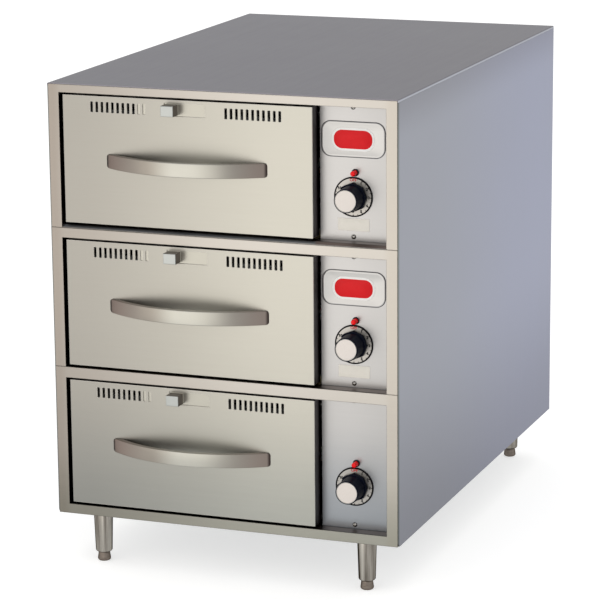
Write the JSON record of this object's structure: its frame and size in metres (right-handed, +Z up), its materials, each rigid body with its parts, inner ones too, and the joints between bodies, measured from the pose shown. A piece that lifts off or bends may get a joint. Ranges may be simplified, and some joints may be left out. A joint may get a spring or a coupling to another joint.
{
  "type": "warming drawer",
  "caption": "Free-standing steel warming drawer unit: stacked heated drawers with bowed handles and lift-out pans, a control column beside them, on short legs.",
  "frame": {"origin": "on the supporting surface, under the middle of the whole outline from handle to gland", "axes": "+Z up, +Y to the back, so the drawers open towards -Y; +X to the controls' side"},
  "size_m": [0.52, 0.825, 0.705],
  "materials": {
    "cabinet_steel": "satin brushed stainless steel",
    "drawer_steel": "satin brushed stainless steel",
    "handle_steel": "polished stainless steel",
    "pan_steel": "pressed stainless steel, bright",
    "inner_steel": "galvanised sheet, matt",
    "leg_metal": "plated, satin",
    "foot_bronze": "dull brown plating",
    "knob_plastic": "moulded phenolic, satin black",
    "knob_cap_metal": "spun and anodised",
    "dial_metal": "printed, satin",
    "shaft_steel": "turned",
    "badge_grey": "painted frame, silver, satin",
    "badge_field": "painted field, red, satin",
    "plate_foil": "foil, satin",
    "lamp_body": "moulded black",
    "lamp_lens": "clear red",
    "thermostat_body": "moulded phenolic",
    "element_sheath": "heat-darkened sheath",
    "bulb_copper": "drawn copper",
    "insulation": "mineral wool blanket",
    "terminal_plastic": "ceramic white",
    "wire": "sleeved wires",
    "gland_plastic": "moulded nylon",
    "roller_nylon": "moulded nylon",
    "screw_steel": "plated"
  },
  "bodies": {
    "cabinet": {"top_panel": "cabinet_steel", "side_panel_left": "cabinet_steel", "side_panel_right": "cabinet_steel", "back_panel": "inner_steel", "bottom_panel": "inner_steel", "tier_frame_top": "cabinet_steel", "tier_frame_middle": "cabinet_steel", "tier_frame_bottom": "cabinet_steel", "drawer_tunnels": "inner_steel", "insulation_blankets": "insulation", "control_panels": "cabinet_steel", "badge_frames": "badge_grey", "badge_fields": "badge_field", "blank_plates": "plate_foil", "thermostats": "thermostat_body", "dial_rings": "dial_metal", "pilot_lamp_bodies": "lamp_body", "pilot_lamp_lenses": "lamp_lens", "heating_elements": "element_sheath", "thermostat_bulbs": "bulb_copper", "terminal_block": "terminal_plastic", "wiring_harness": "wire", "cord_gland": "gland_plastic", "panel_screws": "screw_steel", "legs": "leg_metal", "slide_tracks": "inner_steel"},
    "foot_front_left": {"foot_front_left": "foot_bronze"},
    "foot_front_right": {"foot_front_right": "foot_bronze"},
    "foot_rear_left": {"foot_rear_left": "foot_bronze"},
    "foot_rear_right": {"foot_rear_right": "foot_bronze"},
    "drawer_bottom": {"drawer_front_bottom": "drawer_steel", "drawer_carriage_bottom": "inner_steel", "drawer_handle_bottom": "handle_steel", "pan_bottom": "pan_steel"},
    "vent_slide_bottom": {"vent_slide_bottom": "drawer_steel"},
    "knob_bottom": {"knob_bottom": "knob_plastic", "knob_cap_bottom": "knob_cap_metal", "knob_shaft_bottom": "shaft_steel"},
    "cabinet_rollers_bottom": {"cabinet_rollers_bottom": "roller_nylon"},
    "drawer_rollers_bottom": {"drawer_rollers_bottom": "roller_nylon"},
    "drawer_middle": {"drawer_front_middle": "drawer_steel", "drawer_carriage_middle": "inner_steel", "drawer_handle_middle": "handle_steel", "pan_middle": "pan_steel"},
    "vent_slide_middle": {"vent_slide_middle": "drawer_steel"},
    "knob_middle": {"knob_middle": "knob_plastic", "knob_cap_middle": "knob_cap_metal", "knob_shaft_middle": "shaft_steel"},
    "cabinet_rollers_middle": {"cabinet_rollers_middle": "roller_nylon"},
    "drawer_rollers_middle": {"drawer_rollers_middle": "roller_nylon"},
    "drawer_top": {"drawer_front_top": "drawer_steel", "drawer_carriage_top": "inner_steel", "drawer_handle_top": "handle_steel", "pan_top": "pan_steel"},
    "vent_slide_top": {"vent_slide_top": "drawer_steel"},
    "knob_top": {"knob_top": "knob_plastic", "knob_cap_top": "knob_cap_metal", "knob_shaft_top": "shaft_steel"},
    "cabinet_rollers_top": {"cabinet_rollers_top": "roller_nylon"},
    "drawer_rollers_top": {"drawer_rollers_top": "roller_nylon"}
  },
  "joints": [
    {"name": "foot_front_left_level", "type": "slide", "parent": "cabinet", "child": "foot_front_left", "axis": [0, 0, -1], "range_m": [0, 0.012]},
    {"name": "foot_front_right_level", "type": "slide", "parent": "cabinet", "child": "foot_front_right", "axis": [0, 0, -1], "range_m": [0, 0.012]},
    {"name": "foot_rear_left_level", "type": "slide", "parent": "cabinet", "child": "foot_rear_left", "axis": [0, 0, -1], "range_m": [0, 0.012]},
    {"name": "foot_rear_right_level", "type": "slide", "parent": "cabinet", "child": "foot_rear_right", "axis": [0, 0, -1], "range_m": [0, 0.012]},
    {"name": "drawer_bottom_slide", "type": "slide", "parent": "cabinet", "child": "drawer_bottom", "axis": [0, -1, 0], "range_m": [0, 0.5]},
    {"name": "vent_bottom_slide", "type": "slide", "parent": "drawer_bottom", "child": "vent_slide_bottom", "axis": [1, 0, 0], "range_m": [0, 0.03578]},
    {"name": "knob_bottom_turn", "type": "hinge", "parent": "cabinet", "child": "knob_bottom", "pos_m": [0.1878, -0.3645, 0.1514], "axis": [0, 1, 0], "range_deg": [0, 300]},
    {"name": "cabinet_rollers_bottom_turn", "type": "hinge", "parent": "cabinet", "child": "cabinet_rollers_bottom", "pos_m": [-0.05, -0.3325, 0.189], "axis": [1, 0, 0], "continuous": true},
    {"name": "drawer_rollers_bottom_turn", "type": "hinge", "parent": "drawer_bottom", "child": "drawer_rollers_bottom", "pos_m": [-0.05, 0.2035, 0.186], "axis": [1, 0, 0], "continuous": true},
    {"name": "drawer_middle_slide", "type": "slide", "parent": "cabinet", "child": "drawer_middle", "axis": [0, -1, 0], "range_m": [0, 0.5]},
    {"name": "vent_middle_slide", "type": "slide", "parent": "drawer_middle", "child": "vent_slide_middle", "axis": [1, 0, 0], "range_m": [0, 0.03578]},
    {"name": "knob_middle_turn", "type": "hinge", "parent": "cabinet", "child": "knob_middle", "pos_m": [0.1878, -0.3645, 0.3564], "axis": [0, 1, 0], "range_deg": [0, 300]},
    {"name": "cabinet_rollers_middle_turn", "type": "hinge", "parent": "cabinet", "child": "cabinet_rollers_middle", "pos_m": [-0.05, -0.3325, 0.394], "axis": [1, 0, 0], "continuous": true},
    {"name": "drawer_rollers_middle_turn", "type": "hinge", "parent": "drawer_middle", "child": "drawer_rollers_middle", "pos_m": [-0.05, 0.2035, 0.391], "axis": [1, 0, 0], "continuous": true},
    {"name": "drawer_top_slide", "type": "slide", "parent": "cabinet", "child": "drawer_top", "axis": [0, -1, 0], "range_m": [0, 0.5]},
    {"name": "vent_top_slide", "type": "slide", "parent": "drawer_top", "child": "vent_slide_top", "axis": [1, 0, 0], "range_m": [0, 0.03578]},
    {"name": "knob_top_turn", "type": "hinge", "parent": "cabinet", "child": "knob_top", "pos_m": [0.1878, -0.3645, 0.5644], "axis": [0, 1, 0], "range_deg": [0, 300]},
    {"name": "cabinet_rollers_top_turn", "type": "hinge", "parent": "cabinet", "child": "cabinet_rollers_top", "pos_m": [-0.05, -0.3325, 0.602], "axis": [1, 0, 0], "continuous": true},
    {"name": "drawer_rollers_top_turn", "type": "hinge", "parent": "drawer_top", "child": "drawer_rollers_top", "pos_m": [-0.05, 0.2035, 0.599], "axis": [1, 0, 0], "continuous": true}
  ],
  "couplings": [
    {"joint": "cabinet_rollers_bottom_turn", "follows": "drawer_bottom_slide", "rad_per_m": 86.957},
    {"joint": "drawer_rollers_bottom_turn", "follows": "drawer_bottom_slide", "rad_per_m": 86.957},
    {"joint": "cabinet_rollers_middle_turn", "follows": "drawer_middle_slide", "rad_per_m": 86.957},
    {"joint": "drawer_rollers_middle_turn", "follows": "drawer_middle_slide", "rad_per_m": 86.957},
    {"joint": "cabinet_rollers_top_turn", "follows": "drawer_top_slide", "rad_per_m": 86.957},
    {"joint": "drawer_rollers_top_turn", "follows": "drawer_top_slide", "rad_per_m": 86.957}
  ]
}
